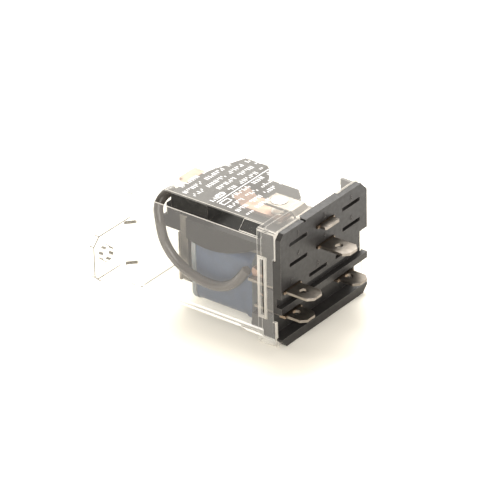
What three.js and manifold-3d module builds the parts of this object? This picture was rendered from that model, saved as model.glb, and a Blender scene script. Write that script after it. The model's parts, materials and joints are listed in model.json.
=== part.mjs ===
// Plug-in power relay lying on its coil side: clear dust cover with a flange tab, phenolic base with
// quick-connect blades, and inside it a coil, yoke, hinged armature and one heavy changeover contact.
// Frame, in millimetres: +X along the relay towards its blades, +Z up through the printed contact
// side, -Y towards the tab. The origin is the middle of the flat coil side that the relay rests on.
import * as THREE from 'three';
import { mergeVertices } from 'three/addons/utils/BufferGeometryUtils.js';
import Module from 'manifold-3d';

const wasm = await Module();
wasm.setup();

// ---- driving dimensions ----
const COVER_LENGTH = 51;
const RIM = COVER_LENGTH / 2; // x of the cover's open rim
const SKIRT_HALF_WIDTH = 20;
const SKIRT_HEIGHT = 35.7;
const SKIRT_LENGTH = 6.2;
const FLARE = 0.5; // how far the skirt stands out from the body of the cover
const WALL = 1.0;
const BODY_HALF_WIDTH = SKIRT_HALF_WIDTH - FLARE;
const BODY_HEIGHT = SKIRT_HEIGHT - FLARE;
const BODY_CHAMFER = 3.1;
const PLATE_THICKNESS = 1.8;
const FIT_GAP = 0.3;

const BLADE_WIDTH = 6.35;
const BLADE_THICKNESS = 0.81;
const BLADE_HOLE_RADIUS = 1.1;
const BLADE_HOLE_FROM_TIP = 4.9;
const SHOULDER_HALF_WIDTH = 3.85;
const SLOT_LENGTH = 8.1;
const SLOT_HEIGHT = 1.15;
const COLUMN_PITCH = 12.1;
const COLUMN_MID = 0.3;
const ROW_SHIFT = -3.3; // rows three and four sit this much nearer the tab side
const ROW_1 = 30.8;
const ROW_2 = 24.5;
const ROW_3 = 17.4;
const COIL_ROW = 9.9;

const YOKE_THICKNESS = 2.2;
const YOKE_TOP = 25.1;
const YOKE_LOW = 3.2;
const YOKE_HALF_WIDTH = 13.5;
const YOKE_BACK = RIM - 9.2; // the face of the yoke's upright towards the base
const YOKE_LENGTH = 24.9;
const CORE_HEIGHT = 12.6;
const CORE_RADIUS = 4.4;
const CORE_BORE = CORE_RADIUS + 0.2;
const STAKE_RADIUS = 3.0; // the core's end that passes through the yoke
const POLE_FACE = RIM - 33.2;
const BOBBIN_TUBE_RADIUS = 6.2;
const FLANGE_THICKNESS = 1.4;
const BOBBIN_START = RIM - 32.9;
const BOBBIN_END = RIM - 11.8;

const ARMATURE_THICKNESS = 2.6;
const ARMATURE_FACE = RIM - 34.4; // the side of the armature that meets the pole
const CARRIER_LENGTH = 6.2;
const CARRIER_HALF_WIDTH = 14;
const ARM_THICKNESS = 0.9;
const ARM_HALF_WIDTH = 3.5;
const ARM_HIGH = 30.8; // middle of the arm where the carrier holds it
const ARM_LOW = 28.65; // middle of the arm at its contact
const LOWER_TAIL = 26.4;
const UPPER_TAIL = 32.1;
const CONTACT_X = RIM - 13.6;
const CONTACT_RADIUS = 2.5;
const COIL_WIRE_RADIUS = 0.3;
const SHANK_RADIUS = 1.1;
const PAST_CONTACT = 3.4; // how far an arm or tail runs on beyond the middle of its contact
const TAIL_HALF_WIDTH = ARM_HALF_WIDTH - 0.4;
const HEAD_HEIGHT = 0.6;
const LEAD_RADIUS = 1.5;
const LEAD_PLANE = -16.82; // y of the big loop of the lead
const LEAD_START_Y = -9.0;
const TAIL_END = RIM - 10.7; // inner end of the common blade

// ---- materials ----
const look = (colour, roughness, metalness = 0) =>
  new THREE.MeshStandardMaterial({ color: colour, roughness, metalness });
const clearPlastic = () =>
  new THREE.MeshStandardMaterial({ color: '#f2f4f2', roughness: 0.1, transparent: true, opacity: 0.25 });
const phenolic = () => look('#55534f', 0.6);
const tinnedBrass = () => look('#c9bfae', 0.3, 1);
const steel = () => look('#9c978c', 0.45, 1);
const copper = () => look('#c47a4a', 0.35, 1);
const silver = () => look('#dcdad4', 0.25, 1);

// ---- helpers ----
/** Stands a flat outline drawn in two of the axes up along the third, from `from` to `to`. */
function prism(outline, axis, from, to, curveSegments = 8) {
  const depth = to - from;
  const geometry = new THREE.ExtrudeGeometry(outline, { depth, bevelEnabled: false, curveSegments });
  const turn = new THREE.Matrix4();
  if (axis === 'x') {
    turn.makeBasis(new THREE.Vector3(0, 1, 0), new THREE.Vector3(0, 0, 1), new THREE.Vector3(1, 0, 0));
    turn.setPosition(from, 0, 0);
  } else if (axis === 'y') {
    turn.makeBasis(new THREE.Vector3(1, 0, 0), new THREE.Vector3(0, 0, 1), new THREE.Vector3(0, -1, 0));
    turn.setPosition(0, to, 0);
  } else {
    turn.setPosition(0, 0, from);
  }
  return geometry.applyMatrix4(turn);
}

/** A rectangle with cut corners, one size or four in the order low-low, high-low, high-high, low-high. */
function cutRectangle(u0, v0, u1, v1, cuts) {
  const [a, b, c, d] = Array.isArray(cuts) ? cuts : [cuts, cuts, cuts, cuts];
  return polygon([
    [u0 + a, v0], [u1 - b, v0], [u1, v0 + b], [u1, v1 - c],
    [u1 - c, v1], [u0 + d, v1], [u0, v1 - d], [u0, v0 + a],
  ]);
}

/** A rectangle with round corners. */
function roundRectangle(u0, v0, u1, v1, radius) {
  const shape = new THREE.Shape();
  shape.absarc(u1 - radius, v0 + radius, radius, -Math.PI / 2, 0);
  shape.absarc(u1 - radius, v1 - radius, radius, 0, Math.PI / 2);
  shape.absarc(u0 + radius, v1 - radius, radius, Math.PI / 2, Math.PI);
  shape.absarc(u0 + radius, v0 + radius, radius, Math.PI, Math.PI * 1.5);
  return shape;
}

/** A closed outline through the given points, leaving out a point that repeats the one before it. */
function polygon(points) {
  const shape = new THREE.Shape();
  const distinct = points.filter((point, index) => {
    const before = points[(index + points.length - 1) % points.length];
    return Math.hypot(point[0] - before[0], point[1] - before[1]) > 1e-6;
  });
  distinct.forEach(([u, v], index) => (index ? shape.lineTo(u, v) : shape.moveTo(u, v)));
  shape.closePath();
  return shape;
}

function circle(u, v, radius) {
  return new THREE.Path().absarc(u, v, radius, 0, Math.PI * 2, true);
}

const box = (x0, x1, y0, y1, z0, z1) =>
  new THREE.BoxGeometry(x1 - x0, y1 - y0, z1 - z0)
    .translate((x0 + x1) / 2, (y0 + y1) / 2, (z0 + z1) / 2);

/** Turns a profile of [radius, height] points about Z. */
const turned = (profile, segments = 20) =>
  new THREE.LatheGeometry(profile.map(([r, h]) => new THREE.Vector2(r, h)), segments).rotateX(Math.PI / 2);

/** A plain disc or rod along Z between two heights. */
const rod = (radius, z0, z1, segments = 20) =>
  turned([[0, z0], [radius, z0], [radius, z1], [0, z1]], segments);

/** Stands a shape that was turned about Z along X instead, its height becoming x. */
const alongX = (geometry, y, z) => geometry.rotateY(Math.PI / 2).translate(0, y, z);

/** A round cord along a smooth curve through the points. */
function cord(points, radius, steps, sides) {
  const path = new THREE.CatmullRomCurve3(points.map((point) => new THREE.Vector3(...point)));
  const section = new THREE.Shape().absarc(0, 0, radius, 0, Math.PI * 2);
  return new THREE.ExtrudeGeometry(section, { steps, extrudePath: path, curveSegments: sides });
}

function toSolid(geometry) {
  const plain = geometry.clone();
  plain.deleteAttribute('normal');
  plain.deleteAttribute('uv');
  const merged = mergeVertices(plain, 1e-5);
  const corners = merged.index.array;
  const triangles = [];
  for (let i = 0; i < corners.length; i += 3) {
    const [a, b, c] = corners.slice(i, i + 3);
    if (a !== b && b !== c && c !== a) {
      triangles.push(a, b, c); // a turned profile leaves flat slivers where it meets its axis
    }
  }
  return new wasm.Manifold(new wasm.Mesh({
    numProp: 3,
    vertProperties: new Float32Array(merged.attributes.position.array),
    triVerts: new Uint32Array(triangles),
  }));
}

function toGeometry(solid) {
  const mesh = solid.getMesh();
  const geometry = new THREE.BufferGeometry();
  geometry.setAttribute('position', new THREE.BufferAttribute(mesh.vertProperties, 3));
  geometry.setIndex(new THREE.BufferAttribute(mesh.triVerts, 1));
  geometry.computeVertexNormals();
  return geometry;
}

/** Joins every geometry in `parts`, then cuts every geometry in `cuts` away. */
function carve(parts, cuts = []) {
  const whole = parts.map(toSolid).reduce((sum, part) => sum.add(part));
  return toGeometry(cuts.map(toSolid).reduce((rest, cut) => rest.subtract(cut), whole));
}

const relay = new THREE.Group();

function piece(name, geometry, material) {
  const mesh = new THREE.Mesh(geometry, material);
  mesh.name = name;
  relay.add(mesh);
}

// ---- dust cover ----
const LUG_LOW = 8.2; // the base's side lug, which fills a notch in the rim
const LUG_HIGH = 26.7;
const LUG_DEPTH = 1.0;
const TOP_LUG_HALF_WIDTH = 8.2;
const LATCH = { start: RIM - 6, end: RIM - 2.9, low: 8.2, high: 27.4, proud: 0.4, border: 0.95 };
const TAB = {
  thickness: 1.6, reach: 36.7, low: 11.2, high: 25.4, corner: 2.4, holeY: -30.7, holeRadius: 2.3,
};
const CORNER_PAD = { length: 6.4, proud: 0.4, inset: 0.3 };
const GUSSET = { thickness: 1, reach: 4.2, length: 5.6, inset: 0.7 }; // inset from the tab's long edges

/** A box on one side wall, from `inner` to `outer` away from the middle; side is -1 or 1. */
const sideBox = (side, x0, x1, inner, outer, z0, z1) =>
  box(x0, x1, Math.min(side * inner, side * outer), Math.max(side * inner, side * outer), z0, z1);

/** The flat ring on one side wall that clips over the base, and the slot through its middle. */
function latchRing(side) {
  const { start, end, low, high, proud, border } = LATCH;
  const outer = SKIRT_HALF_WIDTH + proud;
  const inner = SKIRT_HALF_WIDTH - WALL / 2;
  const throughWall = SKIRT_HALF_WIDTH - 2 * WALL;
  const ring = sideBox(side, start, end, inner, outer, low, high);
  const slot = sideBox(
    side, start + border, end - border, throughWall, outer + 1, low + border, high - border);
  return [ring, slot];
}

/** A low pad on one corner chamfer, running on from the skirt; `y` and `z` are 1 or -1 for the corner. */
function cornerPad(y, z) {
  const { length, proud, inset } = CORNER_PAD;
  const start = RIM - SKIRT_LENGTH - length;
  const width = BODY_CHAMFER * Math.SQRT2 - 2 * inset;
  const pad = box(start, RIM - SKIRT_LENGTH + 0.3, -width / 2, width / 2, -WALL / 2, proud);
  const middle = BODY_HEIGHT / 2;
  const [across, up] = [BODY_HALF_WIDTH - BODY_CHAMFER / 2, middle - BODY_CHAMFER / 2];
  return pad.rotateX(-Math.atan2(y, z)).translate(0, y * across, middle + z * up);
}

/** A triangular web that braces the tab against the side of the cover. */
function gusset(z) {
  const side = -BODY_HALF_WIDTH + 0.2;
  const { thickness, reach, length } = GUSSET;
  const web = polygon([
    [-RIM, side - reach], [-RIM + TAB.thickness, side - reach], [-RIM + length, side], [-RIM, side],
  ]);
  return prism(web, 'z', z - thickness / 2, z + thickness / 2);
}

function flangeTab() {
  const { thickness, reach, low, high, corner, holeY, holeRadius } = TAB;
  const plate = cutRectangle(-reach, low, -BODY_HALF_WIDTH + 0.5, high, [corner, 0, 0, corner]);
  plate.holes.push(circle(holeY, (low + high) / 2, holeRadius));
  return prism(plate, 'x', -RIM, -RIM + thickness, 12);
}

function dustCover() {
  const bodyEnd = RIM - SKIRT_LENGTH;
  const body = cutRectangle(-BODY_HALF_WIDTH, 0, BODY_HALF_WIDTH, BODY_HEIGHT, BODY_CHAMFER);
  const skirt = cutRectangle(-SKIRT_HALF_WIDTH, 0, SKIRT_HALF_WIDTH, SKIRT_HEIGHT, 0.6);
  const inside = BODY_HALF_WIDTH - WALL;
  const cavity = cutRectangle(-inside, WALL, inside, BODY_HEIGHT - WALL, BODY_CHAMFER - WALL / 2);
  const skirtCavity = cutRectangle(-inside - FLARE, WALL, inside + FLARE, SKIRT_HEIGHT - WALL, 0.3);
  const notch = RIM - LUG_DEPTH - FIT_GAP;
  const topNotch = TOP_LUG_HALF_WIDTH + FIT_GAP;
  const [nearRing, nearSlot] = latchRing(-1);
  const [farRing, farSlot] = latchRing(1);
  return carve(
    [
      prism(body, 'x', -RIM, bodyEnd + 0.1),
      prism(skirt, 'x', bodyEnd, RIM),
      flangeTab(),
      gusset(TAB.low + GUSSET.inset),
      gusset(TAB.high - GUSSET.inset),
      nearRing,
      farRing,
      ...[[-1, -1], [-1, 1], [1, -1], [1, 1]].map(([y, z]) => cornerPad(y, z)),
    ],
    [
      prism(cavity, 'x', -RIM + WALL, RIM + 1),
      prism(skirtCavity, 'x', bodyEnd + 0.6, RIM + 1),
      box(notch, RIM + 1, -SKIRT_HALF_WIDTH - 1, -inside, LUG_LOW - FIT_GAP, LUG_HIGH + FIT_GAP),
      box(notch, RIM + 1, COLUMN_MID - topNotch, COLUMN_MID + topNotch,
        SKIRT_HEIGHT - 2 * WALL, SKIRT_HEIGHT + 1),
      nearSlot,
      farSlot,
    ],
  );
}

// ---- base ----
const RIB_LOW = 10.7;
const RIB_HIGH = 12.7;
const LIP_HIGH = 2.9;
const FACE_LOW = 15.6; // lower edge of the flat that carries rows one to three
const RECESS_DEPTH = 2.0; // how far the coil row's floor lies behind the rim
const SPIGOT_LENGTH = 5.3;
const PLATE_CORNERS = [2.2, 2.0, 2.8, 1.6]; // low tab side, low far side, high far side, high tab side
const KEY_NOTCH = { fromY: 16.1, low: 15.6, high: 20.5 };
const INDEX_GROOVE = { from: -9.2, to: -8.3, depth: 0.7 }; // a nick in the plate's top edge
const LOW_WALL = { length: 9.6, high: 7.2, inner: 15.4, outer: 18.2, cut: 2.5 }; // beside the ledge
const FOOT_HALF_WIDTH = 16; // the ledge inside that the yoke's upright stands on
const WELL = { end: RIM - 0.9, low: 27.4, halfWidth: 17.2 }; // the spigot is open above the contacts

/** Centres of every slot in the base as [y, z], row by row. */
function slotCentres() {
  const columns = [-1, 0, 1].map((column) => COLUMN_MID + column * COLUMN_PITCH);
  return [
    ...columns.map((y) => [y, ROW_1]),
    ...columns.map((y) => [y, ROW_2]),
    ...columns.map((y) => [y + ROW_SHIFT, ROW_3]),
    [columns[0] + ROW_SHIFT, COIL_ROW],
    [columns[2] + ROW_SHIFT, COIL_ROW],
  ];
}

/** A low side wall inside the cover, with its lower outer corner cut to clear the cover's chamfer. */
const lowWall = (cuts, y0, y1) =>
  prism(cutRectangle(y0, WALL + FIT_GAP, y1, LOW_WALL.high, cuts),
    'x', RIM - LOW_WALL.length, RIM - SPIGOT_LENGTH + 0.5);

function base() {
  const front = RIM + PLATE_THICKNESS;
  const edge = SKIRT_HALF_WIDTH - 0.2;
  const spigotHalf = SKIRT_HALF_WIDTH - WALL - FIT_GAP; // the spigot plugs into the cover's rim
  const spigotBack = RIM - SPIGOT_LENGTH;
  const plateBack = RIM + 0.05;
  const top = SKIRT_HEIGHT - 0.4;
  const plate = cutRectangle(-edge, 0.2, edge, top, PLATE_CORNERS);
  const inset = WALL + FIT_GAP;
  const spigot = cutRectangle(-spigotHalf, inset, spigotHalf, SKIRT_HEIGHT - inset, 0.6);
  const [halfLength, halfHeight] = [SLOT_LENGTH / 2, SLOT_HEIGHT / 2];
  const slots = slotCentres().map(([y, z]) =>
    box(spigotBack - 1, front + 1, y - halfLength, y + halfLength, z - halfHeight, z + halfHeight));
  return carve(
    [
      prism(plate, 'x', plateBack, front),
      prism(spigot, 'x', spigotBack, RIM + 0.1),
      box(RIM - LUG_DEPTH, plateBack + 0.1, -edge, -spigotHalf + 0.2, LUG_LOW, LUG_HIGH),
      box(RIM - LUG_DEPTH, plateBack + 0.1, COLUMN_MID - TOP_LUG_HALF_WIDTH, COLUMN_MID + TOP_LUG_HALF_WIDTH,
        SKIRT_HEIGHT - 2 * WALL, top),
      box(BOBBIN_END + FIT_GAP, spigotBack + 0.5, -FOOT_HALF_WIDTH, FOOT_HALF_WIDTH,
        WALL + FIT_GAP, YOKE_LOW - FIT_GAP),
      lowWall([LOW_WALL.cut, 0, 0, 0], -LOW_WALL.outer, -LOW_WALL.inner),
      lowWall([0, LOW_WALL.cut, 0, 0], LOW_WALL.inner, LOW_WALL.outer),
    ],
    [
      box(plateBack, front + 1, -edge - 1, edge + 1, RIB_HIGH, FACE_LOW),
      box(RIM - RECESS_DEPTH, front + 1, -edge - 1, edge + 1, LIP_HIGH, RIB_LOW),
      box(plateBack, front + 1, KEY_NOTCH.fromY, edge + 1, KEY_NOTCH.low - 0.1, KEY_NOTCH.high),
      box(spigotBack - 1, WELL.end, -WELL.halfWidth, WELL.halfWidth, WELL.low, SKIRT_HEIGHT),
      box(RIM - 0.5, front + 1, INDEX_GROOVE.from, INDEX_GROOVE.to, top - INDEX_GROOVE.depth, SKIRT_HEIGHT),
      ...slots,
    ],
  );
}

// ---- terminals ----
/** A quick-connect blade with its shoulders at the base, from the inner tail to the chamfered tip. */
function flatBlade(y, z, tail, tip, taper = 1.5) {
  const half = BLADE_WIDTH / 2;
  const shoulder = SHOULDER_HALF_WIDTH;
  const shoulderStart = RIM + 0.4;
  const shoulderEnd = RIM + PLATE_THICKNESS + 0.55;
  const right = [
    [tail, half], [shoulderStart, half], [shoulderStart, shoulder], [shoulderEnd, shoulder],
    [shoulderEnd, half], [tip - taper, half], [tip, half - taper],
  ];
  const left = right.map(([x, w]) => [x, -w]).reverse();
  const outline = polygon([...left, ...right].map(([x, w]) => [x, y + w]));
  return prism(outline, 'z', z - BLADE_THICKNESS / 2, z + BLADE_THICKNESS / 2);
}

const bladeHole = (y, z, tip) =>
  rod(BLADE_HOLE_RADIUS, z - 1, z + 1).translate(tip - BLADE_HOLE_FROM_TIP, y, 0);

const bladeTerminal = (y, z, tail, tip) => carve([flatBlade(y, z, tail, tip)], [bladeHole(y, z, tip)]);

/** The inner end of a contact blade: it steps to its own level and ends under or over the contacts. */
function steppedTail(y, level, target, end) {
  const half = BLADE_THICKNESS / 2;
  const stepStart = RIM - SPIGOT_LENGTH - 0.6;
  const stepEnd = stepStart - Math.max(1.2, Math.abs(target - level));
  const root = stepStart + 1.5; // inside the blade, where the two join
  const profile = polygon([
    [end, target - half], [stepEnd, target - half], [stepStart, level - half], [root, level - half],
    [root, level + half], [stepStart, level + half], [stepEnd, target + half], [end, target + half],
  ]);
  return prism(profile, 'y', y - TAIL_HALF_WIDTH, y + TAIL_HALF_WIDTH);
}

/** The contact rivets' hole through a blade's tail or the arm. */
const rivetHole = () =>
  rod(SHANK_RADIUS + 0.15, LOWER_TAIL - 3, UPPER_TAIL + 3).translate(CONTACT_X, COLUMN_MID, 0);

/** A contact blade and its stepped tail, which carries a fixed contact; the short one has no hole. */
function contactTerminal(level, target, tip, isShort) {
  const blade = flatBlade(COLUMN_MID, level, RIM - SPIGOT_LENGTH - 1, tip, isShort ? 0.4 : 1.5);
  const tail = steppedTail(COLUMN_MID, level, target, CONTACT_X - PAST_CONTACT);
  const cuts = isShort ? [rivetHole()] : [rivetHole(), bladeHole(COLUMN_MID, level, tip)];
  return carve([blade, tail], cuts);
}

// ---- magnet ----
function yoke() {
  const back = YOKE_BACK - YOKE_LENGTH;
  const profile = polygon([
    [back, YOKE_TOP - YOKE_THICKNESS], [YOKE_BACK - YOKE_THICKNESS, YOKE_TOP - YOKE_THICKNESS],
    [YOKE_BACK - YOKE_THICKNESS, YOKE_LOW], [YOKE_BACK, YOKE_LOW],
    [YOKE_BACK, YOKE_TOP - 0.8], [YOKE_BACK - 0.8, YOKE_TOP], [back, YOKE_TOP],
  ]);
  const upright = YOKE_HALF_WIDTH - 2.6; // the upright is narrower, to clear the common blade's tail
  const side = (y0, y1) =>
    box(YOKE_BACK - YOKE_THICKNESS - 0.01, YOKE_BACK + 1, y0, y1, 0, YOKE_TOP - YOKE_THICKNESS);
  return carve(
    [prism(profile, 'y', -YOKE_HALF_WIDTH, YOKE_HALF_WIDTH)],
    [
      alongX(rod(STAKE_RADIUS + 0.1, YOKE_BACK - 5, YOKE_BACK + 5), COLUMN_MID, CORE_HEIGHT),
      side(-YOKE_HALF_WIDTH - 1, -upright),
      side(upright, YOKE_HALF_WIDTH + 1),
    ],
  );
}

function core() {
  const upright = YOKE_BACK - YOKE_THICKNESS;
  const head = STAKE_RADIUS + 1; // the end of the core, spread over the back of the yoke
  const profile = [
    [0, POLE_FACE], [CORE_RADIUS - 0.4, POLE_FACE], [CORE_RADIUS, POLE_FACE + 0.4],
    [CORE_RADIUS, upright - 0.05], [STAKE_RADIUS, upright - 0.05],
    [STAKE_RADIUS, YOKE_BACK + 0.05], [head, YOKE_BACK + 0.05],
    [head - 0.4, YOKE_BACK + 0.7], [0, YOKE_BACK + 0.7],
  ];
  return alongX(turned(profile, 24), COLUMN_MID, CORE_HEIGHT);
}

/** The copper ring on the pole face that keeps an AC magnet from buzzing. */
function shadingRing() {
  const [near, far] = [POLE_FACE - 0.4, POLE_FACE - 0.1];
  const profile = [[1.6, near], [2.8, near], [2.8, far], [1.6, far], [1.6, near]];
  return alongX(turned(profile, 20), COLUMN_MID, CORE_HEIGHT);
}

const COIL = { half: 14.6, low: 1.9, high: 22.3, corner: 3.2 };
const coilSection = (grow) =>
  roundRectangle(-COIL.half - grow, COIL.low - grow, COIL.half + grow, COIL.high + grow, COIL.corner + grow);

function bobbin() {
  const tube = [
    [CORE_BORE, BOBBIN_START], [BOBBIN_TUBE_RADIUS, BOBBIN_START], [BOBBIN_TUBE_RADIUS, BOBBIN_END],
    [CORE_BORE, BOBBIN_END], [CORE_BORE, BOBBIN_START],
  ];
  const bore = rod(CORE_BORE, BOBBIN_START - 1, BOBBIN_END + 1, 24);
  return carve(
    [
      prism(coilSection(0.3), 'x', BOBBIN_START, BOBBIN_START + FLANGE_THICKNESS, 3),
      prism(coilSection(0.3), 'x', BOBBIN_END - FLANGE_THICKNESS, BOBBIN_END, 3),
      alongX(turned(tube, 24), COLUMN_MID, CORE_HEIGHT),
    ],
    [alongX(bore, COLUMN_MID, CORE_HEIGHT)],
  );
}

/** A block of the coil's section, filling the bobbin between its flanges. */
const betweenFlanges = (section) =>
  prism(section, 'x', BOBBIN_START + FLANGE_THICKNESS + 0.1, BOBBIN_END - FLANGE_THICKNESS - 0.1, 3);

function winding() {
  const bore = rod(BOBBIN_TUBE_RADIUS + 0.1, BOBBIN_START, BOBBIN_END, 24);
  return carve([betweenFlanges(coilSection(-0.5))], [alongX(bore, COLUMN_MID, CORE_HEIGHT)]);
}

/** The tape around the winding, a sleeve open at both ends that laps over the flange at the base. */
function tape() {
  const lapStart = BOBBIN_END - FLANGE_THICKNESS - 0.6;
  const sleeve = (outer, inner) => {
    const section = coilSection(outer);
    section.holes.push(coilSection(inner));
    return section;
  };
  return carve([
    prism(sleeve(0, -0.45), 'x', BOBBIN_START + FLANGE_THICKNESS + 0.1, lapStart + 0.1, 3),
    prism(sleeve(0.55, -0.45), 'x', lapStart, lapStart + 0.5, 3),
    prism(sleeve(0.55, 0.35), 'x', lapStart + 0.4, BOBBIN_END, 3),
  ]);
}

// ---- insulating deck ----
const DECK = {
  start: RIM - 34, end: RIM - 5.9, low: YOKE_TOP + FIT_GAP, high: 27.6, halfWidth: 15.6, wall: 0.6,
};
const DECK_SLOT = { start: CONTACT_X - PAST_CONTACT - 0.6, halfWidth: ARM_HALF_WIDTH + 0.4 };
const FAR_CORNER = { start: RIM - 19.5, end: RIM - 15.5 }; // where the deck's far side slants off
const SKIRT_HANG = { start: 4, mid: 6.4, end: -0.6 }; // how far a skirt's lower edge hangs below the plate

/** One side skirt of the deck, whose lower edge is bowed and hangs over the top of the coil. */
function deckSkirt(side) {
  const { start, end, low, high, halfWidth, wall } = DECK;
  const outline = new THREE.Shape();
  outline.moveTo(start, high);
  outline.lineTo(start, low - SKIRT_HANG.start);
  outline.bezierCurveTo(
    start + 7, low - SKIRT_HANG.mid, start + 15, low - SKIRT_HANG.mid + 0.8, end - 3, low - SKIRT_HANG.end);
  outline.lineTo(end, low - SKIRT_HANG.end);
  outline.lineTo(end, high);
  outline.closePath();
  const [inner, outer] = [side * (halfWidth - wall), side * halfWidth];
  return prism(outline, 'y', Math.min(inner, outer), Math.max(inner, outer), 8);
}

/** The moulding between the magnet and the contacts: a plate over the yoke with a skirt on each side. */
function insulatingDeck() {
  const { start, end, low, high, halfWidth } = DECK;
  const slotEdge = COLUMN_MID + DECK_SLOT.halfWidth;
  const outside = halfWidth + 1;
  const slant = FAR_CORNER.end - FAR_CORNER.start;
  const farCorner = polygon([
    [FAR_CORNER.start, outside], [FAR_CORNER.end, outside - slant], [FAR_CORNER.end, slotEdge - 0.1],
    [end + 1, slotEdge - 0.1], [end + 1, outside],
  ]);
  return carve(
    [box(start, end, -halfWidth + 0.2, halfWidth - 0.2, low, high), deckSkirt(-1), deckSkirt(1)],
    [
      box(DECK_SLOT.start, end + 1, COLUMN_MID - DECK_SLOT.halfWidth, slotEdge, low - 1, high + 1),
      prism(farCorner, 'z', low - SKIRT_HANG.mid, high + 1),
    ],
  );
}

// ---- armature and moving contact ----
const CARRIER = {
  low: 21.8, high: 32.9, back: ARMATURE_FACE - ARMATURE_THICKNESS - 0.05,
  capLow: 28.2, capStart: RIM - 40.2, capEnd: RIM - 27.5, capSlant: 4.8,
};
const RIVET_SIDES = [-1, 1];
const RIVET_OFFSET = 8;
const RIVET_HIGH = 24;
const RIVET_SHANK = 1.2;
const ARMATURE = { halfWidth: 14.3, low: 5.8, high: 27.4, corner: 1.5 };
const LEAF = { thickness: 0.8, inset: 0.7 }; // inset from the armature's lower edge

function armature() {
  const { halfWidth, low, high, corner } = ARMATURE;
  const plate = cutRectangle(-halfWidth, low, halfWidth, high, [corner, corner, 0, 0]);
  RIVET_SIDES.forEach((side) => {
    plate.holes.push(circle(side * RIVET_OFFSET, RIVET_HIGH, RIVET_SHANK + 0.1));
  });
  return prism(plate, 'x', ARMATURE_FACE - ARMATURE_THICKNESS, ARMATURE_FACE, 8);
}

/** The moulded block on the armature, with a cap over the hinge, that holds the contact arm. */
function contactCarrier() {
  const { low, high, back, capLow, capStart, capEnd, capSlant } = CARRIER;
  const start = back - CARRIER_LENGTH;
  const outside = CARRIER_HALF_WIDTH + 1;
  const block = polygon([
    [start, low + 1], [start + 1, low], [back, low], [back, capLow], [capEnd, capLow],
    [capEnd, high - 0.6], [capEnd - 0.6, high], [start, high],
  ]);
  const tunnel = ARM_THICKNESS / 2 + 0.1;
  const tunnelHalfWidth = ARM_HALF_WIDTH + 0.1;
  const pastCap = polygon([
    [start - 1, -outside], [capStart, -outside], [capStart, 0], [capStart + capSlant, outside],
    [start - 1, outside],
  ]); // the cap stops short of the block's outer face and leaves the arm's tail bare
  const leadCorner = polygon([[start - 1, -outside], [start + 3, -outside], [start - 1, -outside + 3.5]]);
  return carve(
    [prism(block, 'y', -CARRIER_HALF_WIDTH, CARRIER_HALF_WIDTH)],
    [
      prism(pastCap, 'z', capLow, high + 1),
      prism(leadCorner, 'z', low + 3.5, high + 1),
      box(start - 1, capEnd + 1, COLUMN_MID - tunnelHalfWidth, COLUMN_MID + tunnelHalfWidth,
        ARM_HIGH - tunnel, ARM_HIGH + tunnel),
      ...RIVET_SIDES.map((side) =>
        alongX(rod(RIVET_SHANK + 0.2, start - 1, back + 0.5), side * RIVET_OFFSET, RIVET_HIGH)),
    ],
  );
}

/** A thin leaf on the outer side of the armature, below the carrier. */
function armatureLeaf() {
  const { halfWidth, low } = ARMATURE;
  return box(CARRIER.back - LEAF.thickness, CARRIER.back, -halfWidth, halfWidth,
    low + LEAF.inset, CARRIER.low - FIT_GAP);
}

function carrierRivet(side) {
  const start = CARRIER.back - CARRIER_LENGTH - 0.05;
  const [headRadius, headHeight] = [2.3, 0.85];
  const profile = [
    [0, start - headHeight], [headRadius - 0.7, start - headHeight], [headRadius, start],
    [RIVET_SHANK, start], [RIVET_SHANK, ARMATURE_FACE - 0.1], [0, ARMATURE_FACE - 0.1],
  ];
  return alongX(turned(profile, 16), side * RIVET_OFFSET, RIVET_HIGH);
}

const ARM_EAR = { start: RIM - 44.4, end: RIM - 41.4 };

/** The arm: an ear for the flexible lead, the carrier's level, a step down, and the contact end. */
function movingArm() {
  const half = ARM_THICKNESS / 2;
  const end = CONTACT_X + PAST_CONTACT;
  const stepStart = CARRIER.capEnd + 0.4;
  const stepEnd = stepStart + 3;
  const start = CARRIER.back - CARRIER_LENGTH - 2.6;
  const profile = polygon([
    [start, ARM_HIGH - half], [stepStart, ARM_HIGH - half], [stepEnd, ARM_LOW - half], [end, ARM_LOW - half],
    [end, ARM_LOW + half], [stepEnd, ARM_LOW + half], [stepStart, ARM_HIGH + half], [start, ARM_HIGH + half],
  ]);
  const near = COLUMN_MID - ARM_HALF_WIDTH;
  return carve(
    [
      prism(profile, 'y', near, COLUMN_MID + ARM_HALF_WIDTH),
      box(ARM_EAR.start, ARM_EAR.end, LEAD_START_Y + FIT_GAP, near + 0.5, ARM_HIGH - half, ARM_HIGH + half),
    ],
    [rivetHole()],
  );
}

/** A silver contact rivet with one or two heads, on the arm's or a blade's own level. */
function contactRivet(level, thickness, below, above) {
  const half = thickness / 2 + 0.02;
  const profile = [
    [0, level - half - below],
    [CONTACT_RADIUS - 0.3, level - half - below], [CONTACT_RADIUS, level - half - below * 0.6],
    [CONTACT_RADIUS, level - half], [SHANK_RADIUS, level - half],
    [SHANK_RADIUS, level + half], [CONTACT_RADIUS, level + half],
    [CONTACT_RADIUS, level + half + above * 0.6], [CONTACT_RADIUS - 0.3, level + half + above],
    [0, level + half + above],
  ];
  return turned(profile, 20).translate(CONTACT_X, COLUMN_MID, 0);
}

// ---- flexible lead and coil leads ----
function flexibleLead() {
  const y = LEAD_PLANE;
  return cord([
    [RIM - 42.9, LEAD_START_Y, ARM_HIGH], [RIM - 43.6, -12.0, ARM_HIGH - 0.2], [RIM - 43.9, -14.9, 28.4],
    [RIM - 42.3, y + 0.3, 24.4], [RIM - 40.7, y, 19.0], [RIM - 37.2, y, 14.5], [RIM - 32.0, y, 11.6],
    [RIM - 26.2, y, 10.4], [RIM - 20.8, y, 11.0], [RIM - 16.6, y, 13.5], [RIM - 13.6, y, 17.0],
    [RIM - 12.1, y, 19.2],
  ], LEAD_RADIUS, 40, 5);
}

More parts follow.
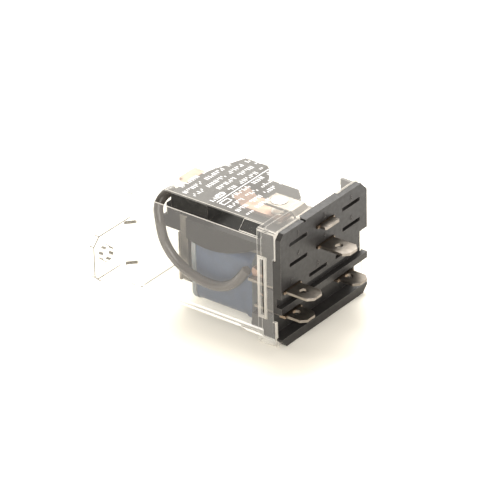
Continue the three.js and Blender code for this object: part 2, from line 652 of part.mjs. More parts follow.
/** The bare end of the lead, pressed flat and welded on the common blade's tail. */
function leadEnd() {
  const [start, end] = [TAIL_END + 0.5, TAIL_END + 3.9];
  const low = ROW_3 + BLADE_THICKNESS / 2 + 0.05;
  const profile = polygon([
    [start, low], [end, low], [end, low + 1.0], [end - 1.6, low + 1.9],
    [start, low + 2.75], [start - 0.5, low + 1.55],
  ]);
  return prism(profile, 'y', LEAD_PLANE + 0.2, LEAD_PLANE + 2.8);
}

/** A thin coil wire from the bobbin's inner flange to the tail of a coil blade. */
function coilLead(y) {
  const [startY, startZ] = [Math.sign(y) * 13, CORE_HEIGHT + 1.4];
  const tailTop = COIL_ROW + BLADE_THICKNESS / 2 + 0.4;
  return cord([
    [BOBBIN_END + 0.35, startY, startZ], [BOBBIN_END + 1.1, (startY + y) / 2, (startZ + tailTop) / 2],
    [BOBBIN_END + 1.9, y, tailTop + 0.5], [BOBBIN_END + 3.4, y, tailTop],
  ], COIL_WIRE_RADIUS, 12, 3);
}

// ---- assembly ----
const COMMON_Y = COLUMN_MID - COLUMN_PITCH + ROW_SHIFT;
const COIL_B_Y = COLUMN_MID + COLUMN_PITCH + ROW_SHIFT;
const COIL_TAIL = RIM - 8.6;
const COIL_TIP = RIM + 8.3;

piece('dust_cover', dustCover(), clearPlastic());
piece('base', base(), phenolic());
piece('terminal_2', contactTerminal(ROW_1, UPPER_TAIL, RIM + 4.6, true), tinnedBrass());
piece('terminal_5', contactTerminal(ROW_2, LOWER_TAIL, RIM + 11.4, false), tinnedBrass());
piece('terminal_7', bladeTerminal(COMMON_Y, ROW_3, TAIL_END, RIM + 10.7), tinnedBrass());
piece('terminal_a', bladeTerminal(COMMON_Y, COIL_ROW, COIL_TAIL, COIL_TIP), tinnedBrass());
piece('terminal_b', bladeTerminal(COIL_B_Y, COIL_ROW, COIL_TAIL, COIL_TIP), tinnedBrass());
piece('upper_fixed_contact', contactRivet(UPPER_TAIL, BLADE_THICKNESS, HEAD_HEIGHT, 0.3), silver());
piece('lower_fixed_contact', contactRivet(LOWER_TAIL, BLADE_THICKNESS, 0.2, HEAD_HEIGHT), silver());
piece('yoke', yoke(), steel());
piece('core', core(), steel());
piece('shading_ring', shadingRing(), copper());
piece('bobbin', bobbin(), look('#cfcdc6', 0.5));
piece('coil_winding', winding(), copper());
piece('coil_tape', tape(), look('#7f87a3', 0.5));
piece('insulating_deck', insulatingDeck(), look('#2e2c2a', 0.6));
piece('armature', armature(), steel());
piece('contact_carrier', contactCarrier(), look('#2e2c2a', 0.6));
piece('armature_leaf', armatureLeaf(), tinnedBrass());
RIVET_SIDES.forEach((side, index) => piece(`carrier_rivet_${index + 1}`, carrierRivet(side), steel()));
piece('moving_arm', movingArm(), copper());
piece('moving_contact', contactRivet(ARM_LOW, ARM_THICKNESS, HEAD_HEIGHT, HEAD_HEIGHT), silver());
piece('flexible_lead', flexibleLead(), look('#9a9082', 0.7));
piece('lead_end', leadEnd(), copper());
piece('coil_lead_a', coilLead(COMMON_Y + 1.2), copper());
piece('coil_lead_b', coilLead(COIL_B_Y + 2.6), copper());

export default relay;
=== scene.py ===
"""Looks of the plug-in relay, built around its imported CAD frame: one material per kind of stuff, softened
edges on the CAD nodes, the clear cover and its print, the insulated lead and the numbers on the base."""
import json
import math
import random

import bmesh
import bpy
from mathutils import Matrix, Vector


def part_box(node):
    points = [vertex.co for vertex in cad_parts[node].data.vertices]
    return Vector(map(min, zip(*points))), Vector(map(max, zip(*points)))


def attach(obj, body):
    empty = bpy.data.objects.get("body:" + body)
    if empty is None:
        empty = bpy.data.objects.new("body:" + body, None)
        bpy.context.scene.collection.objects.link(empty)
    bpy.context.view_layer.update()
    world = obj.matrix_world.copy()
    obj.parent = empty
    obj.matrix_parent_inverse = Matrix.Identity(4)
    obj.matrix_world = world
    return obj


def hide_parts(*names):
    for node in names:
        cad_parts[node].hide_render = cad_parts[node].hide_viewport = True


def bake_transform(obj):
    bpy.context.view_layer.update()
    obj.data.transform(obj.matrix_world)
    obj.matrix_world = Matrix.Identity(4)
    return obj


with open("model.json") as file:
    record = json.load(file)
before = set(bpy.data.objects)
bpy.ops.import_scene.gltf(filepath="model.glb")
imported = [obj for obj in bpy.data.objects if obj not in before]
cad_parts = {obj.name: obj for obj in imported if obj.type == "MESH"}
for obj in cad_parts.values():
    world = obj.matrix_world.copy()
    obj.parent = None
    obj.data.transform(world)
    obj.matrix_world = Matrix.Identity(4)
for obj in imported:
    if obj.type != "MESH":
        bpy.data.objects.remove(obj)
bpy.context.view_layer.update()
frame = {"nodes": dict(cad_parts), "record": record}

MM = 0.001
SEED = 7  # for the random strokes of the print
WELD_DISTANCE = 0.001 * MM
FLAT_ANGLE = math.radians(2)  # faces that turn less than this are one flat
SHARP_ANGLE = math.radians(35)

# The cover, as it was modelled in the CAD
FLARE = 0.5 * MM  # how far the cover's skirt stands out from its body
SKIRT_HALF_WIDTH = 20 * MM
LATCH_START = 6 * MM  # the latch rings' ends, back from the cover's rim
LATCH_END = 2.9 * MM
LATCH_LOW = 8.2 * MM
LATCH_HIGH = 27.4 * MM

# Light around the relay, which its clear walls mirror too
BRIGHT_WAY = Vector((-0.5, 0.7, 0.5))  # where the brightest part of the surroundings lies
BRIGHT_EDGE = 0.2  # cosines of the angles from it where the brightness begins and is full
BRIGHT_CORE = 0.95
WORLD_STRENGTH = (0.15, 2.2)  # away from it, and towards it
STUDIO_TINT = (1.0, 0.97, 0.93, 1)
MIRRORED_TINT = (1.0, 0.945, 0.87, 1)
MIRRORED_FLOOR = 1.7  # brightness of the burnt-out floor as the clear walls mirror it
FLOOR_LIFT = 0.02  # how much brighter than its lighting the floor looks beside the relay


# ---- small helpers ----
def colour(hex_code):
    """A colour written as six hex digits, turned into the linear values that shaders take."""
    channels = [int(hex_code[i:i + 2], 16) / 255 for i in (0, 2, 4)]
    return tuple(c / 12.92 if c <= 0.04045 else ((c + 0.055) / 1.055) ** 2.4 for c in channels) + (1.0,)


class Shader:
    """The node tree of one material, with short calls to add nodes and join them."""

    def __init__(self, name):
        self.material = bpy.data.materials.new(name)
        self.material.use_nodes = True
        self.tree = self.material.node_tree
        self.tree.nodes.clear()

    def node(self, kind, inputs=None, **settings):
        made = self.tree.nodes.new("ShaderNode" + kind)
        for key, value in settings.items():
            setattr(made, key, value)
        for key, value in (inputs or {}).items():
            self.feed(made.inputs[key], value)
        return made

    def feed(self, socket, value):
        if isinstance(value, bpy.types.NodeSocket):
            self.tree.links.new(value, socket)
        else:
            socket.default_value = value

    def place(self):
        """The point's X, Y and Z in the shared frame, in metres."""
        return self.node("SeparateXYZ", {0: self.node("TexCoord").outputs["Object"]}).outputs

    def noise(self, size_mm, detail=3, stretch=(1, 1, 1)):
        """Noise in the object's own space, with features of about this size; stretch lengthens them."""
        point = self.node("TexCoord").outputs["Object"]
        scale = [1 / (size_mm * MM * s) for s in stretch]
        mapped = self.node("Mapping", {"Vector": point, "Scale": scale})
        return self.node("TexNoise", {"Vector": mapped.outputs[0], "Scale": 1, "Detail": detail}).outputs[0]

    def spread(self, value, low, high, start=0.3, end=0.7):
        """Maps a noise value between start and end onto low to high."""
        ranged = self.node("MapRange", {
            "Value": value, "From Min": start, "From Max": end, "To Min": low, "To Max": high})
        return ranged.outputs[0]

    def blend(self, share, first, second):
        """A colour between two colours."""
        mix = self.node("Mix", data_type="RGBA")
        self.feed(mix.inputs[0], share)
        self.feed(mix.inputs[6], first)
        self.feed(mix.inputs[7], second)
        return mix.outputs[2]

    def bump(self, height, depth_mm, strength=1.0):
        made = self.node("Bump", {"Height": height, "Strength": strength, "Distance": depth_mm * MM})
        return made.outputs[0]

    def edges(self, radius_mm):
        """1 on sharp outer and inner edges of the piece and 0 on its flats."""
        rounded = self.node("Bevel", {"Radius": radius_mm * MM}, samples=4).outputs[0]
        flat = self.node("NewGeometry").outputs["Normal"]
        alike = self.node("VectorMath", {0: rounded, 1: flat}, operation="DOT_PRODUCT").outputs["Value"]
        return self.spread(alike, 1, 0, 0.72, 0.98)

    def within(self, axis, low, high, soft=0.1 * MM):
        """1 where the point's place along an axis lies between low and high, in metres."""
        value = self.place()[axis]
        rises = self.spread(value, 0, 1, low - soft, low)
        falls = self.spread(value, 1, 0, high, high + soft)
        return self.times(rises, falls)

    def opposite(self, share):
        """What is left of a share between 0 and 1."""
        return self.spread(share, 1, 0, 0, 1)

    def times(self, first, second):
        return self.node("Math", {0: first, 1: second}, operation="MULTIPLY").outputs[0]

    def most(self, first, second):
        return self.node("Math", {0: first, 1: second}, operation="MAXIMUM").outputs[0]

    def mix(self, share, first, second):
        """A shader between two shaders."""
        return self.node("MixShader", {0: share, 1: first, 2: second}).outputs[0]

    def finish(self, surface):
        self.node("OutputMaterial", {"Surface": surface})
        return self.material


# ---- materials ----
def plain_stuff(name, first, second, size_mm, rough, depth_mm, metallic=0.0, extra=None):
    """A surface whose colour drifts between two tones, with its own roughness range and fine grain."""
    shader = Shader(name)
    drift = shader.spread(shader.noise(size_mm * 12, 2), 0, 1)
    grain = shader.noise(size_mm, 4)
    inputs = {
        "Base Color": shader.blend(drift, colour(first), colour(second)),
        "Metallic": metallic,
        "Roughness": shader.spread(grain, *rough),
        "Normal": shader.bump(grain, depth_mm),
    }
    inputs.update(extra or {})
    return shader.finish(shader.node("BsdfPrincipled", inputs).outputs[0])


# Paler tone for the edges of black phenolic: rubbing wear and painted highlight together
WORN_AND_HIGHLIT_PHENOLIC = "63605c"


def black_phenolic(name, dark, pale, gloss):
    """Moulded black phenolic: satin, faintly mottled, edges painted paler for rubbing wear and caught
    highlights.
    """
    shader = Shader(name)
    mottle = shader.spread(shader.noise(2.2, 4), 0, 1)
    body = shader.blend(mottle, colour(dark), colour(pale))
    # edges painted paler: partly rubbing wear, partly painted highlight
    worn_and_highlit = shader.blend(shader.edges(0.25), body, colour(WORN_AND_HIGHLIT_PHENOLIC))
    surface = shader.node("BsdfPrincipled", {
        "Base Color": worn_and_highlit,
        "Roughness": shader.spread(shader.noise(1.1, 3), 0.42, 0.58),
        "Specular IOR Level": gloss,
        "Normal": shader.bump(shader.noise(0.9, 2), 0.012 * gloss),
    })
    return shader.finish(surface.outputs[0])


# Painted reflection on the blades' roots, where they come out of the base: its length and its share
ROOT_REFLECTION_LENGTH = 0.5 * MM  # how far out of the base the painted brass-coloured reflection on the blades' roots reaches
ROOT_REFLECTION_SHARE = 0.4


def brushed_metal(name, first, second, rough, root_reflection_tint=None):
    """Metal strip with fine rolling lines along X and dull patches; a plated one gets a painted
    brass-coloured reflection on its root, where it comes out of the base."""
    shader = Shader(name)
    along = (14, 1, 1)
    lines = shader.noise(0.16, 2, along)
    patches = shader.spread(shader.noise(2.4, 3), 0, 1, 0.38, 0.66)
    body = shader.blend(patches, colour(first), colour(second))
    # painted reflection: a brass tint on the root where the strip comes out of the base
    if root_reflection_tint:
        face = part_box("base")[1].x
        wear_and_root_reflection = shader.within("X", face - 1 * MM, face + ROOT_REFLECTION_LENGTH, 0.4 * MM)
        body = shader.blend(shader.times(wear_and_root_reflection, ROOT_REFLECTION_SHARE), body, colour(root_reflection_tint))
    surface = shader.node("BsdfPrincipled", {
        "Base Color": body,
        "Metallic": 1.0,
        "Roughness": shader.spread(shader.noise(0.5, 3, along), *rough),
        "Normal": shader.bump(lines, 0.0012),
    })
    return shader.finish(surface.outputs[0])


def rounded_edge_mask(shader):
    """1 on the cover's rounded edges, which face neither along an axis nor out of a chamfer."""
    facing = shader.node("NewGeometry").outputs["Normal"]
    turned = shader.node("VectorTransform", {0: facing}, vector_type="NORMAL").outputs[0]
    size = shader.node("VectorMath", {0: turned}, operation="ABSOLUTE").outputs[0]
    parts = shader.node("SeparateXYZ", {0: size}).outputs
    chamfer = shader.times(shader.node("Math", {0: parts[1], 1: parts[2]}).outputs[0], math.sqrt(0.5))
    flat = shader.most(shader.most(parts[0], parts[1]), shader.most(parts[2], chamfer))
    return shader.spread(flat, 1, 0, 0.96, 0.997)


def matt_cover_mask(shader):
    """1 on the cover's matt parts: the two flat latch rings on the skirt's side walls and the rim's end."""
    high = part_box("dust_cover")[1]
    along = shader.within("X", high.x - LATCH_START, high.x - LATCH_END)
    up = shader.within("Z", LATCH_LOW, LATCH_HIGH)
    proud = SKIRT_HALF_WIDTH + 0.05 * MM
    tab_side = shader.within("Y", -(SKIRT_HALF_WIDTH + 1 * MM), -proud)
    far_side = shader.within("Y", proud, high.y + 1 * MM)
    rings = shader.times(shader.times(along, up), shader.most(tab_side, far_side))
    rim = shader.within("X", high.x - 0.3 * MM, high.x + 1 * MM)
    return shader.most(rings, shader.times(rim, 0.8))


def mirrored_studio(shader):
    """How bright the floor or the surroundings are in the direction a clear wall mirrors. The walls show it
    as light of their own, since picking single mirror rays would leave grain on the dark parts behind."""
    away = shader.node("TexCoord").outputs["Reflection"]
    towards = shader.node("VectorMath", {0: away, 1: BRIGHT_WAY.normalized()}, operation="DOT_PRODUCT")
    sky = shader.node("MapRange", {
        "Value": towards.outputs["Value"], "From Min": BRIGHT_EDGE, "From Max": BRIGHT_CORE,
        "To Min": WORLD_STRENGTH[0], "To Max": WORLD_STRENGTH[1]}, interpolation_type="SMOOTHSTEP")
    rising = shader.spread(shader.node("SeparateXYZ", {0: away}).outputs["Z"], 0, 1, -0.02, 0.02)
    above = shader.times(rising, sky.outputs[0])
    below = shader.times(shader.opposite(rising), MIRRORED_FLOOR)
    return shader.node("Math", {0: above, 1: below}).outputs[0]


def edge_tone(shader):
    """Painted highlights on the cover's edges, standing in for the glints of clear plastic: near white by
    the base, and painted darker on its far end and its tab, where they have to show against the white
    floor."""
    place = shader.place()
    far_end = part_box("dust_cover")[0].x
    from_far_end = shader.spread(place["X"], 0, 1, far_end, far_end + 4 * MM)
    on_box = shader.spread(place["Y"], 0, 1, -SKIRT_HALF_WIDTH - 1.2 * MM, -SKIRT_HALF_WIDTH - 0.8 * MM)
    # painted edge light along the box: darker at the far end, near white by the base; the tab's edges
    # darker still
    painted_box_edge_light = shader.blend(from_far_end, colour("6b655c"), colour("f6f1e8"))
    return shader.blend(on_box, colour("5f5a52"), painted_box_edge_light)


FACE_ON_MIRRORING = 0.05  # the share that a clear wall mirrors when seen face on
GRAZING_POWER = 5.0
# how much of the painted edge highlight the cover's rounded edges get
PAINTED_EDGE_HIGHLIGHT = 0.9
MATTNESS = 0.8


def clear_plastic():
    """Clear moulded cover: thin walls that light passes straight through and whose mirroring at a slant is
    painted on as light of their own; its edges get a painted highlight, and its rim and latch rings look
    white."""
    shader = Shader("clear_polycarbonate")
    clear = shader.node("BsdfTransparent", {"Color": (0.975, 0.975, 0.965, 1)}).outputs[0]
    studio = mirrored_studio(shader)
    mirror = shader.node("Emission", {"Color": MIRRORED_TINT, "Strength": studio}).outputs[0]
    slant = shader.node("LayerWeight", {"Blend": 0.5}).outputs["Facing"]
    grazing = shader.node("Math", {0: slant, 1: GRAZING_POWER}, operation="POWER").outputs[0]
    rays = shader.node("LightPath")
    lighting = shader.most(rays.outputs["Is Shadow Ray"], rays.outputs["Is Diffuse Ray"])
    share = shader.spread(grazing, FACE_ON_MIRRORING, 1.0, 0, 1)
    see = shader.mix(shader.times(share, shader.opposite(lighting)), clear, mirror)

    scuffs = shader.spread(shader.noise(1.4, 6), 0.0, 0.015, 0.45, 0.75)
    # painted highlight: the rounded edges are drawn in a lit white tone that stands in for their glints;
    # the scuffs and the matt parts share that tone
    edges = shader.times(rounded_edge_mask(shader), PAINTED_EDGE_HIGHLIGHT)
    matt = shader.times(matt_cover_mask(shader), MATTNESS)
    tone = edge_tone(shader)
    white = shader.node("BsdfDiffuse", {"Color": tone}).outputs[0]
    through = shader.node("BsdfTranslucent", {"Color": tone}).outputs[0]
    lit = shader.mix(0.5, white, through)
    shader.material.cycles.emission_sampling = "NONE"
    return shader.finish(shader.mix(shader.most(scuffs, shader.most(edges, matt)), see, lit))


def coil_tape_film():
    """Blue-grey polyester tape with a slight gloss and soft wrinkles."""
    shader = Shader("coil_tape_film")
    wrinkles = shader.noise(1.8, 3, (1, 1, 2.5))
    tone = shader.spread(shader.noise(3.0, 3), 0, 1)
    surface = shader.node("BsdfPrincipled", {
        "Base Color": shader.blend(tone, colour("1f3450"), colour("283f5c")),
        "Roughness": shader.spread(shader.noise(0.8, 3), 0.38, 0.55),
        "Normal": shader.bump(wrinkles, 0.12),
        "Sheen Weight": 0.15,
    })
    return shader.finish(surface.outputs[0])


def white_ink():
    """Printed white ink, slightly worn in places."""
    shader = Shader("white_ink")
    wear_and_root_reflection = shader.spread(shader.noise(0.5, 4), 0.75, 1, 0.3, 0.45)
    surface = shader.node("BsdfPrincipled", {
        "Base Color": shader.blend(wear_and_root_reflection, colour("d9d6d0"), colour("ffffff")),
        "Roughness": 0.5,
        "Normal": shader.bump(shader.noise(0.1, 2), 0.005),
    })
    return shader.finish(surface.outputs[0])


def floor_card():
    """A white card with painted shade: cream and glowing less beside the relay, and burnt out to white away
    from it.
    """
    shader = Shader("floor_card")
    point = shader.node("TexCoord").outputs["Object"]
    away = shader.node("VectorMath", {0: point}, operation="LENGTH").outputs["Value"]
    # painted shade: the card is cream beside the relay and white away from it
    tone = shader.spread(away, 0, 1, 0.05, 0.11)
    card = shader.node("BsdfDiffuse", {
        "Color": shader.blend(tone, colour("fbf6ea"), colour("ffffff")),
        "Normal": shader.bump(shader.noise(0.8, 3), 0.02),
    })
    seen = shader.opposite(shader.node("LightPath").outputs["Is Diffuse Ray"])
    # painted light: the card glows for all but diffuse rays, little beside the relay, which leaves painted
    # shade there
    lift = shader.node("Emission", {
        "Color": (1.0, 0.98, 0.95, 1),
        "Strength": shader.times(seen, shader.spread(away, FLOOR_LIFT, 1.0, 0.045, 0.11)),
    })
    whole = shader.node("AddShader", {0: card.outputs[0], 1: lift.outputs[0]})
    shader.material.cycles.emission_sampling = "NONE"
    return shader.finish(whole.outputs[0])


MATERIALS = {
    "clear_cover": clear_plastic(),
    "black_phenolic": black_phenolic("black_phenolic", "242221", "2e2c2a", 0.4),
    "tinned_brass": brushed_metal("tinned_brass", "8d867d", "77716a", (0.3, 0.4), root_reflection_tint="8f7150"),
    "silver_alloy": plain_stuff("silver_alloy", "e6e3dc", "c9c4ba", 0.3, (0.25, 0.4), 0.01, 1.0),
    "plated_steel": brushed_metal("plated_steel", "64605a", "5d5953", (0.45, 0.52)),
    "copper": brushed_metal("copper", "b09282", "9b7f6f", (0.55, 0.65)),
    "white_nylon": plain_stuff("white_nylon", "85898a", "777b7c", 0.4, (0.4, 0.55), 0.01,
                               extra={"Subsurface Weight": 0.2, "Subsurface Scale": 1 * MM}),
    "blue_tape": coil_tape_film(),
    "lead_sleeve": plain_stuff("lead_insulation", "453e38", "39332e", 0.6, (0.2, 0.26), 0.003),
}
WHITE_INK = white_ink()
# Painted shade: a darker, duller copy of the black phenolic for the mouldings under the cover, which lamp
# light passes freely
SHADED_INNER_PHENOLIC = black_phenolic("inner_phenolic", "121110", "191816", 0.1)
INNER_MOULDINGS = ("insulating_deck", "contact_carrier")


# ---- the CAD nodes: softened edges and their materials ----
EDGE_ROUNDING = {  # how far each node's edges are rounded, in millimetres
    "base": 0.15, "coil_tape": 0.1, "bobbin": 0.2, "contact_carrier": 0.2,
    "insulating_deck": 0.15, "yoke": 0.2, "armature": 0.2,
}
THIN_METAL_ROUNDING = 0.1
REBUILT_NODES = ("dust_cover", "flexible_lead")  # shown by pieces built further down


def shade_smooth(mesh):
    """Smooth shading from the mesh's own shape, without the normals that the import stored."""
    if "custom_normal" in mesh.attributes:
        mesh.attributes.remove(mesh.attributes["custom_normal"])
    for face in mesh.polygons:
        face.use_smooth = True


def soften(node):
    """Rounds a CAD node's edges with modifiers; its own mesh stays as packed."""
    piece = frame["nodes"][node]
    shade_smooth(piece.data)
    weld = piece.modifiers.new("weld", "WELD")
    weld.merge_threshold = WELD_DISTANCE
    flats = piece.modifiers.new("flats", "DECIMATE")
    flats.decimate_type = "DISSOLVE"
    flats.angle_limit = FLAT_ANGLE
    bevel = piece.modifiers.new("bevel", "BEVEL")
    bevel.width = EDGE_ROUNDING.get(node, THIN_METAL_ROUNDING) * MM
    bevel.segments = 2
    bevel.limit_method = "ANGLE"
    bevel.angle_limit = SHARP_ANGLE
    bevel.harden_normals = True


def dress_cad_nodes():
    """Gives each CAD node that stays in view the material of its slot, and soft edges; the mouldings inside
    the cover get the black phenolic's copy painted darker as shade.
    """
    slots = {entry["node"]: entry["material_slot"] for entry in frame["record"]["subparts"]}
    for name, piece in frame["nodes"].items():
        if name in REBUILT_NODES:
            continue
        piece.data.materials.clear()
        piece.data.materials.append(SHADED_INNER_PHENOLIC if name in INNER_MOULDINGS else MATERIALS[slots[name]])
        soften(name)


dress_cad_nodes()


# ---- pieces built here ----
def new_object(name, data):
    made = bpy.data.objects.new(name, data)
    bpy.context.scene.collection.objects.link(made)
    return made


def new_piece(name, mesh, material):
    mesh.materials.clear()
    mesh.materials.append(material)
    piece = new_object(name, mesh)
    return piece


def riding_piece(name, mesh, body, material):
    piece = new_piece(name, mesh, material)
    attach(piece, body)
    return piece


def slab(build, low, high):
    """Adds a closed box between two corners to a bmesh."""
    size = Vector(high) - Vector(low)
    middle = (Vector(high) + Vector(low)) / 2
    place = Matrix.Translation(middle) @ Matrix.Diagonal((*size, 1))
    bmesh.ops.create_cube(build, size=1, matrix=place)


def finish_mesh(build, name):
    """Turns a bmesh into a mesh and frees it."""
    mesh = bpy.data.meshes.new(name)
    build.to_mesh(mesh)
    build.free()
    return mesh


# The print on the cover. Rows run along Y, on both sides of a rule; places along X count from the rule.
INK_LIFT = 0.005 * MM
INK_THICKNESS = 0.02 * MM
STROKE = 0.28 * MM
STROKE_GAP = 0.46 * MM
GLYPH_GAP = 0.62 * MM
WORD_GAP = 1.4 * MM
ROW_HEIGHT = 1.5 * MM
ROW_PITCH = 3.0 * MM
RULE_X = 1.5 * MM
RULE_ENDS = (-14.3 * MM, 9.2 * MM)
FIRST_ROW_BELOW = 0.7 * MM
FIRST_ROW_ABOVE = 0.8 * MM
ROWS_BELOW = ((-14.6, 8.6), (-8.0, 9.6), (-15.0, 9.0), (-15.2, 5.0), (-13.0, -1.5))  # ends in mm
ROWS_ABOVE = ((-9.5, 8.4), (-14.6, 6.6), (-15.0, 4.2), (-15.0, -5.0))
SIGN_BOXES = ((0.9, 2.8, -14.4, -10.8), (-2.6, -0.7, -11.8, -9.0))  # ends along X and Y, in mm
STROKE_SPANS = ((0, 1), (0, 1), (0, 1), (0, 0.5), (0.5, 1))  # shares of a row's height
STROKES_IN_GLYPH = 2
WORD_LENGTHS = (2, 5)


def print_glyph(build, draw, x, y, z):
    """One mark of two loose strokes that stands for a printed letter; returns its far edge."""
    for _ in range(STROKES_IN_GLYPH):
        low, high = draw.choice(STROKE_SPANS)
        near = (x - high * ROW_HEIGHT, y, z)
        slab(build, near, (x - low * ROW_HEIGHT, y + STROKE, z + INK_THICKNESS))
        y += STROKE + STROKE_GAP
    return y - STROKE_GAP


def print_row(build, draw, x, start, end, z):
    """A row of such marks in words of random length, running along Y from start to end."""
    y = start
    while y < end:
        for _ in range(draw.randint(*WORD_LENGTHS)):
            y = print_glyph(build, draw, x, y, z) + GLYPH_GAP
            if y > end:
                break
        y += WORD_GAP


def outline_box(build, low_x, high_x, low_y, high_y, z):
    """A rectangle drawn with four strokes."""
    top = z + INK_THICKNESS
    slab(build, (low_x, low_y, z), (high_x, low_y + STROKE, top))
    slab(build, (low_x, high_y - STROKE, z), (high_x, high_y, top))
    slab(build, (low_x, low_y + STROKE, z), (low_x + STROKE, high_y - STROKE, top))
    slab(build, (high_x - STROKE, low_y + STROKE, z), (high_x, high_y - STROKE, top))


def add_cover_print():
    """White print on top of the cover: rows of plain strokes, a rule and two boxes, with no lettering."""
    draw = random.Random(SEED)
    build = bmesh.new()
    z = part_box("dust_cover")[1].z - FLARE + INK_LIFT
    slab(build, (RULE_X, RULE_ENDS[0], z), (RULE_X + STROKE, RULE_ENDS[1], z + INK_THICKNESS))
    for index, (start, end) in enumerate(ROWS_BELOW):
        x = RULE_X - FIRST_ROW_BELOW - index * ROW_PITCH
        print_row(build, draw, x, start * MM, end * MM, z)
    for index, (start, end) in enumerate(ROWS_ABOVE):
        x = RULE_X + FIRST_ROW_ABOVE + ROW_HEIGHT + index * ROW_PITCH
        print_row(build, draw, x, start * MM, end * MM, z)
    for from_rule, to_rule, low_y, high_y in SIGN_BOXES:
        outline_box(build, RULE_X + from_rule * MM, RULE_X + to_rule * MM, low_y * MM, high_y * MM, z)
    mesh = finish_mesh(build, "cover_print")
    riding_piece("cover_print", mesh, "cover", WHITE_INK)


DIGIT_SIZE = 2.3 * MM
DIGIT_RELIEF = 0.12 * MM
DIGIT_ABOVE_SLOT = 1.3 * MM
COLUMN_PITCH = 12.1 * MM
COLUMN_MID = 0.3 * MM
COLUMNS = 3
SLOT_ROWS = ((30.8, 0.0), (24.5, 0.0), (17.4, -3.3))  # height and sideways shift of each row, in mm


def digit_mesh(text, face_x, y, z):
    """One raised numeral standing on the base's face, its foot at height z and its middle at y."""
    curve = bpy.data.curves.new("digit", "FONT")
    curve.body = text
    curve.size = DIGIT_SIZE
    curve.extrude = DIGIT_RELIEF / 2
    curve.align_x = "CENTER"
    holder = bpy.data.objects.new("digit", curve)
    mesh = bpy.data.meshes.new_from_object(holder)
    bpy.data.objects.remove(holder)
    turn = Matrix(((0, 0, 1, 0), (1, 0, 0, 0), (0, 1, 0, 0), (0, 0, 0, 1)))
    mesh.transform(Matrix.Translation((face_x + DIGIT_RELIEF / 2, y, z)) @ turn)
    return mesh


def add_base_numbers():
    """The moulded numbers 1 to 9 above the contact slots of the base."""
    face_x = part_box("base")[1].x
    build = bmesh.new()
    for row, (height, shift) in enumerate(SLOT_ROWS):
        for column in range(COLUMNS):
            number = row * COLUMNS + column + 1
            y = COLUMN_MID + (column - 1) * COLUMN_PITCH + shift * MM
            build.from_mesh(digit_mesh(str(number), face_x, y, height * MM + DIGIT_ABOVE_SLOT))
    mesh = finish_mesh(build, "base_numbers")
    riding_piece("base_numbers", mesh, "relay", MATERIALS["black_phenolic"])


def joined_copy(node):
    """A bmesh with a CAD node's shape, its doubled vertices joined."""
    build = bmesh.new()
    build.from_mesh(frame["nodes"][node].data)
    bmesh.ops.remove_doubles(build, verts=build.verts, dist=WELD_DISTANCE)
    return build


def finish_smooth_mesh(build, name):
    mesh = finish_mesh(build, name)
    shade_smooth(mesh)
    return mesh


COVER_ROUNDING = 0.28 * MM
SHORTEST_ROUNDED_EDGE = 0.9 * MM


def add_cover():
    """The clear cover with its outer corners rounded; inner corners stay sharp, as moulded."""
    build = joined_copy("dust_cover")
    bmesh.ops.dissolve_limit(build, angle_limit=FLAT_ANGLE, verts=build.verts, edges=build.edges)
    weight = build.edges.layers.float.new("bevel_weight_edge")
    for edge in build.edges:
        turn = edge.calc_face_angle_signed(0)
        if turn > SHARP_ANGLE and edge.calc_length() > SHORTEST_ROUNDED_EDGE:
            edge[weight] = 1
        elif abs(turn) > SHARP_ANGLE:
            edge.smooth = False
    mesh = finish_smooth_mesh(build, "clear_cover")
    piece = riding_piece("clear_cover", mesh, "cover", MATERIALS["clear_cover"])
    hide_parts("dust_cover")
    bevel = piece.modifiers.new("bevel", "BEVEL")
    bevel.limit_method = "WEIGHT"
    bevel.width = COVER_ROUNDING
    bevel.segments = 2
    bevel.use_clamp_overlap = False
    bevel.harden_normals = True


def add_lead():
    """The insulated lead, smooth and round, bending between the relay and the arm that it follows."""
    mesh = finish_smooth_mesh(joined_copy("flexible_lead"), "lead_insulation")
    piece = new_piece("lead_insulation", mesh, MATERIALS["lead_sleeve"])
    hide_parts("flexible_lead")
    smooth = piece.modifiers.new("smooth", "SUBSURF")
    smooth.levels = 2
    smooth.render_levels = 2
    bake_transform(piece)


WELD_X = -17.2 * MM
WELD_RADII = (1.25 * MM, 2.0 * MM, 0.6 * MM)
WELD_PAST_LEAD = 1.4 * MM
WELD_ABOVE_ARM = 0.25 * MM
STRANDS = 9
STRAND_RELIEF = 0.05 * MM


def add_lead_weld():
    """The lead's tinned strands, pressed flat and welded on the arm's ear."""
    lead_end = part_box("flexible_lead")[1].y
    arm_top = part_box("moving_arm")[1].z
    middle = Vector((WELD_X, lead_end + WELD_PAST_LEAD, arm_top + WELD_ABOVE_ARM))
    build = bmesh.new()
    place = Matrix.Translation(middle) @ Matrix.Diagonal((*WELD_RADII, 1))
    bmesh.ops.create_icosphere(build, subdivisions=3, radius=1, matrix=place)
    for vertex in build.verts:
        turn = math.atan2(vertex.co.x - middle.x, vertex.co.z - middle.z)
        vertex.co.z += STRAND_RELIEF * math.sin(STRANDS * turn)
    mesh = finish_smooth_mesh(build, "lead_weld")
    riding_piece("lead_weld", mesh, "armature", MATERIALS["silver_alloy"])


add_cover()
add_cover_print()
add_base_numbers()
add_lead()
add_lead_weld()


# ---- stage: floor, light and camera ----
FLOOR_HALF = 4.0
FLOOR_GAP = 0.05 * MM


def add_floor():
    """A card under the relay, much wider than the picture."""
    build = bmesh.new()
    bmesh.ops.create_grid(build, x_segments=1, y_segments=1, size=FLOOR_HALF)
    mesh = finish_mesh(build, "floor")
    mesh.materials.append(floor_card())
    floor = new_object("floor", mesh)
    floor.location.z = -FLOOR_GAP


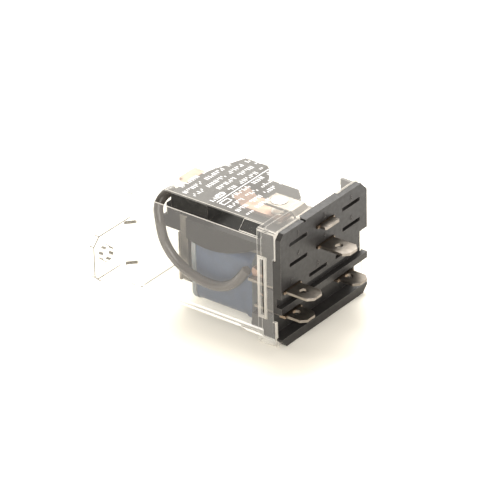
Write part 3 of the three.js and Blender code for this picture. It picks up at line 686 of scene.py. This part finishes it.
def add_world():
    """Warm white surroundings, bright behind the relay and dim above and in front of it."""
    world = bpy.data.worlds.new("studio")
    world.use_nodes = True
    tree = world.node_tree
    tree.nodes.clear()
    place = tree.nodes.new("ShaderNodeTexCoord")
    towards = tree.nodes.new("ShaderNodeVectorMath")
    towards.operation = "DOT_PRODUCT"
    towards.inputs[1].default_value = BRIGHT_WAY.normalized()
    ramp = tree.nodes.new("ShaderNodeMapRange")
    ramp.interpolation_type = "SMOOTHSTEP"
    ramp.inputs["From Min"].default_value = BRIGHT_EDGE
    ramp.inputs["From Max"].default_value = BRIGHT_CORE
    ramp.inputs["To Min"].default_value, ramp.inputs["To Max"].default_value = WORLD_STRENGTH
    back = tree.nodes.new("ShaderNodeBackground")
    back.inputs["Color"].default_value = STUDIO_TINT
    out = tree.nodes.new("ShaderNodeOutputWorld")
    tree.links.new(place.outputs["Generated"], towards.inputs[0])
    tree.links.new(towards.outputs["Value"], ramp.inputs["Value"])
    tree.links.new(ramp.outputs[0], back.inputs["Strength"])
    tree.links.new(back.outputs[0], out.inputs["Surface"])
    bpy.context.scene.world = world


def add_area_light(name, place, size, power, tint):
    """A round soft light that faces the relay."""
    data = bpy.data.lights.new(name, "AREA")
    data.shape = "DISK"
    data.size = size
    data.energy = power
    data.color = tint
    light = new_object(name, data)
    light.location = place
    light.rotation_euler = (-Vector(place)).to_track_quat("-Z", "Y").to_euler()


# Degrees for the angles, metres for the distance, millimetres for the lens
CAMERA = {"azimuth": 37.9, "elevation": 29.45, "roll": -1.25, "distance": 1.049, "lens": 272.3}
CAMERA_TARGET = Vector((1.55, 0, 13.7)) * MM


def add_camera():
    """A long lens looking down on the base and the tab's side, rolled slightly."""
    azimuth, elevation, roll = (math.radians(CAMERA[key]) for key in ("azimuth", "elevation", "roll"))
    level_back = Vector((math.sin(azimuth), -math.cos(azimuth), 0))
    back = level_back * math.cos(elevation) + Vector((0, 0, math.sin(elevation)))
    right = Vector((math.cos(azimuth), math.sin(azimuth), 0))
    up = back.cross(right)
    turned_right = right * math.cos(roll) + up * math.sin(roll)
    turned_up = up * math.cos(roll) - right * math.sin(roll)
    data = bpy.data.cameras.new("camera")
    data.lens = CAMERA["lens"]
    data.sensor_width = 36
    data.clip_start = 0.01
    camera = new_object("camera", data)
    turn = Matrix((turned_right, turned_up, back)).transposed().to_4x4()
    camera.matrix_world = Matrix.Translation(CAMERA_TARGET + back * CAMERA["distance"]) @ turn
    bpy.context.scene.camera = camera


def set_light_paths():
    """Plain colours, and enough bounces to see through all the cover's walls."""
    scene = bpy.context.scene
    scene.view_settings.view_transform = "Standard"
    scene.cycles.max_bounces = 20
    scene.cycles.transmission_bounces = 16
    scene.cycles.transparent_max_bounces = 24
    scene.cycles.caustics_reflective = False
    scene.cycles.caustics_refractive = False


add_floor()
add_world()
add_area_light("key", (-0.35, 0.45, 0.75), size=0.5, power=8, tint=(1, 0.99, 0.97))
add_area_light("fill", (0.5, -0.6, 0.5), size=0.7, power=8, tint=(1, 0.98, 0.95))
add_camera()
set_light_paths()
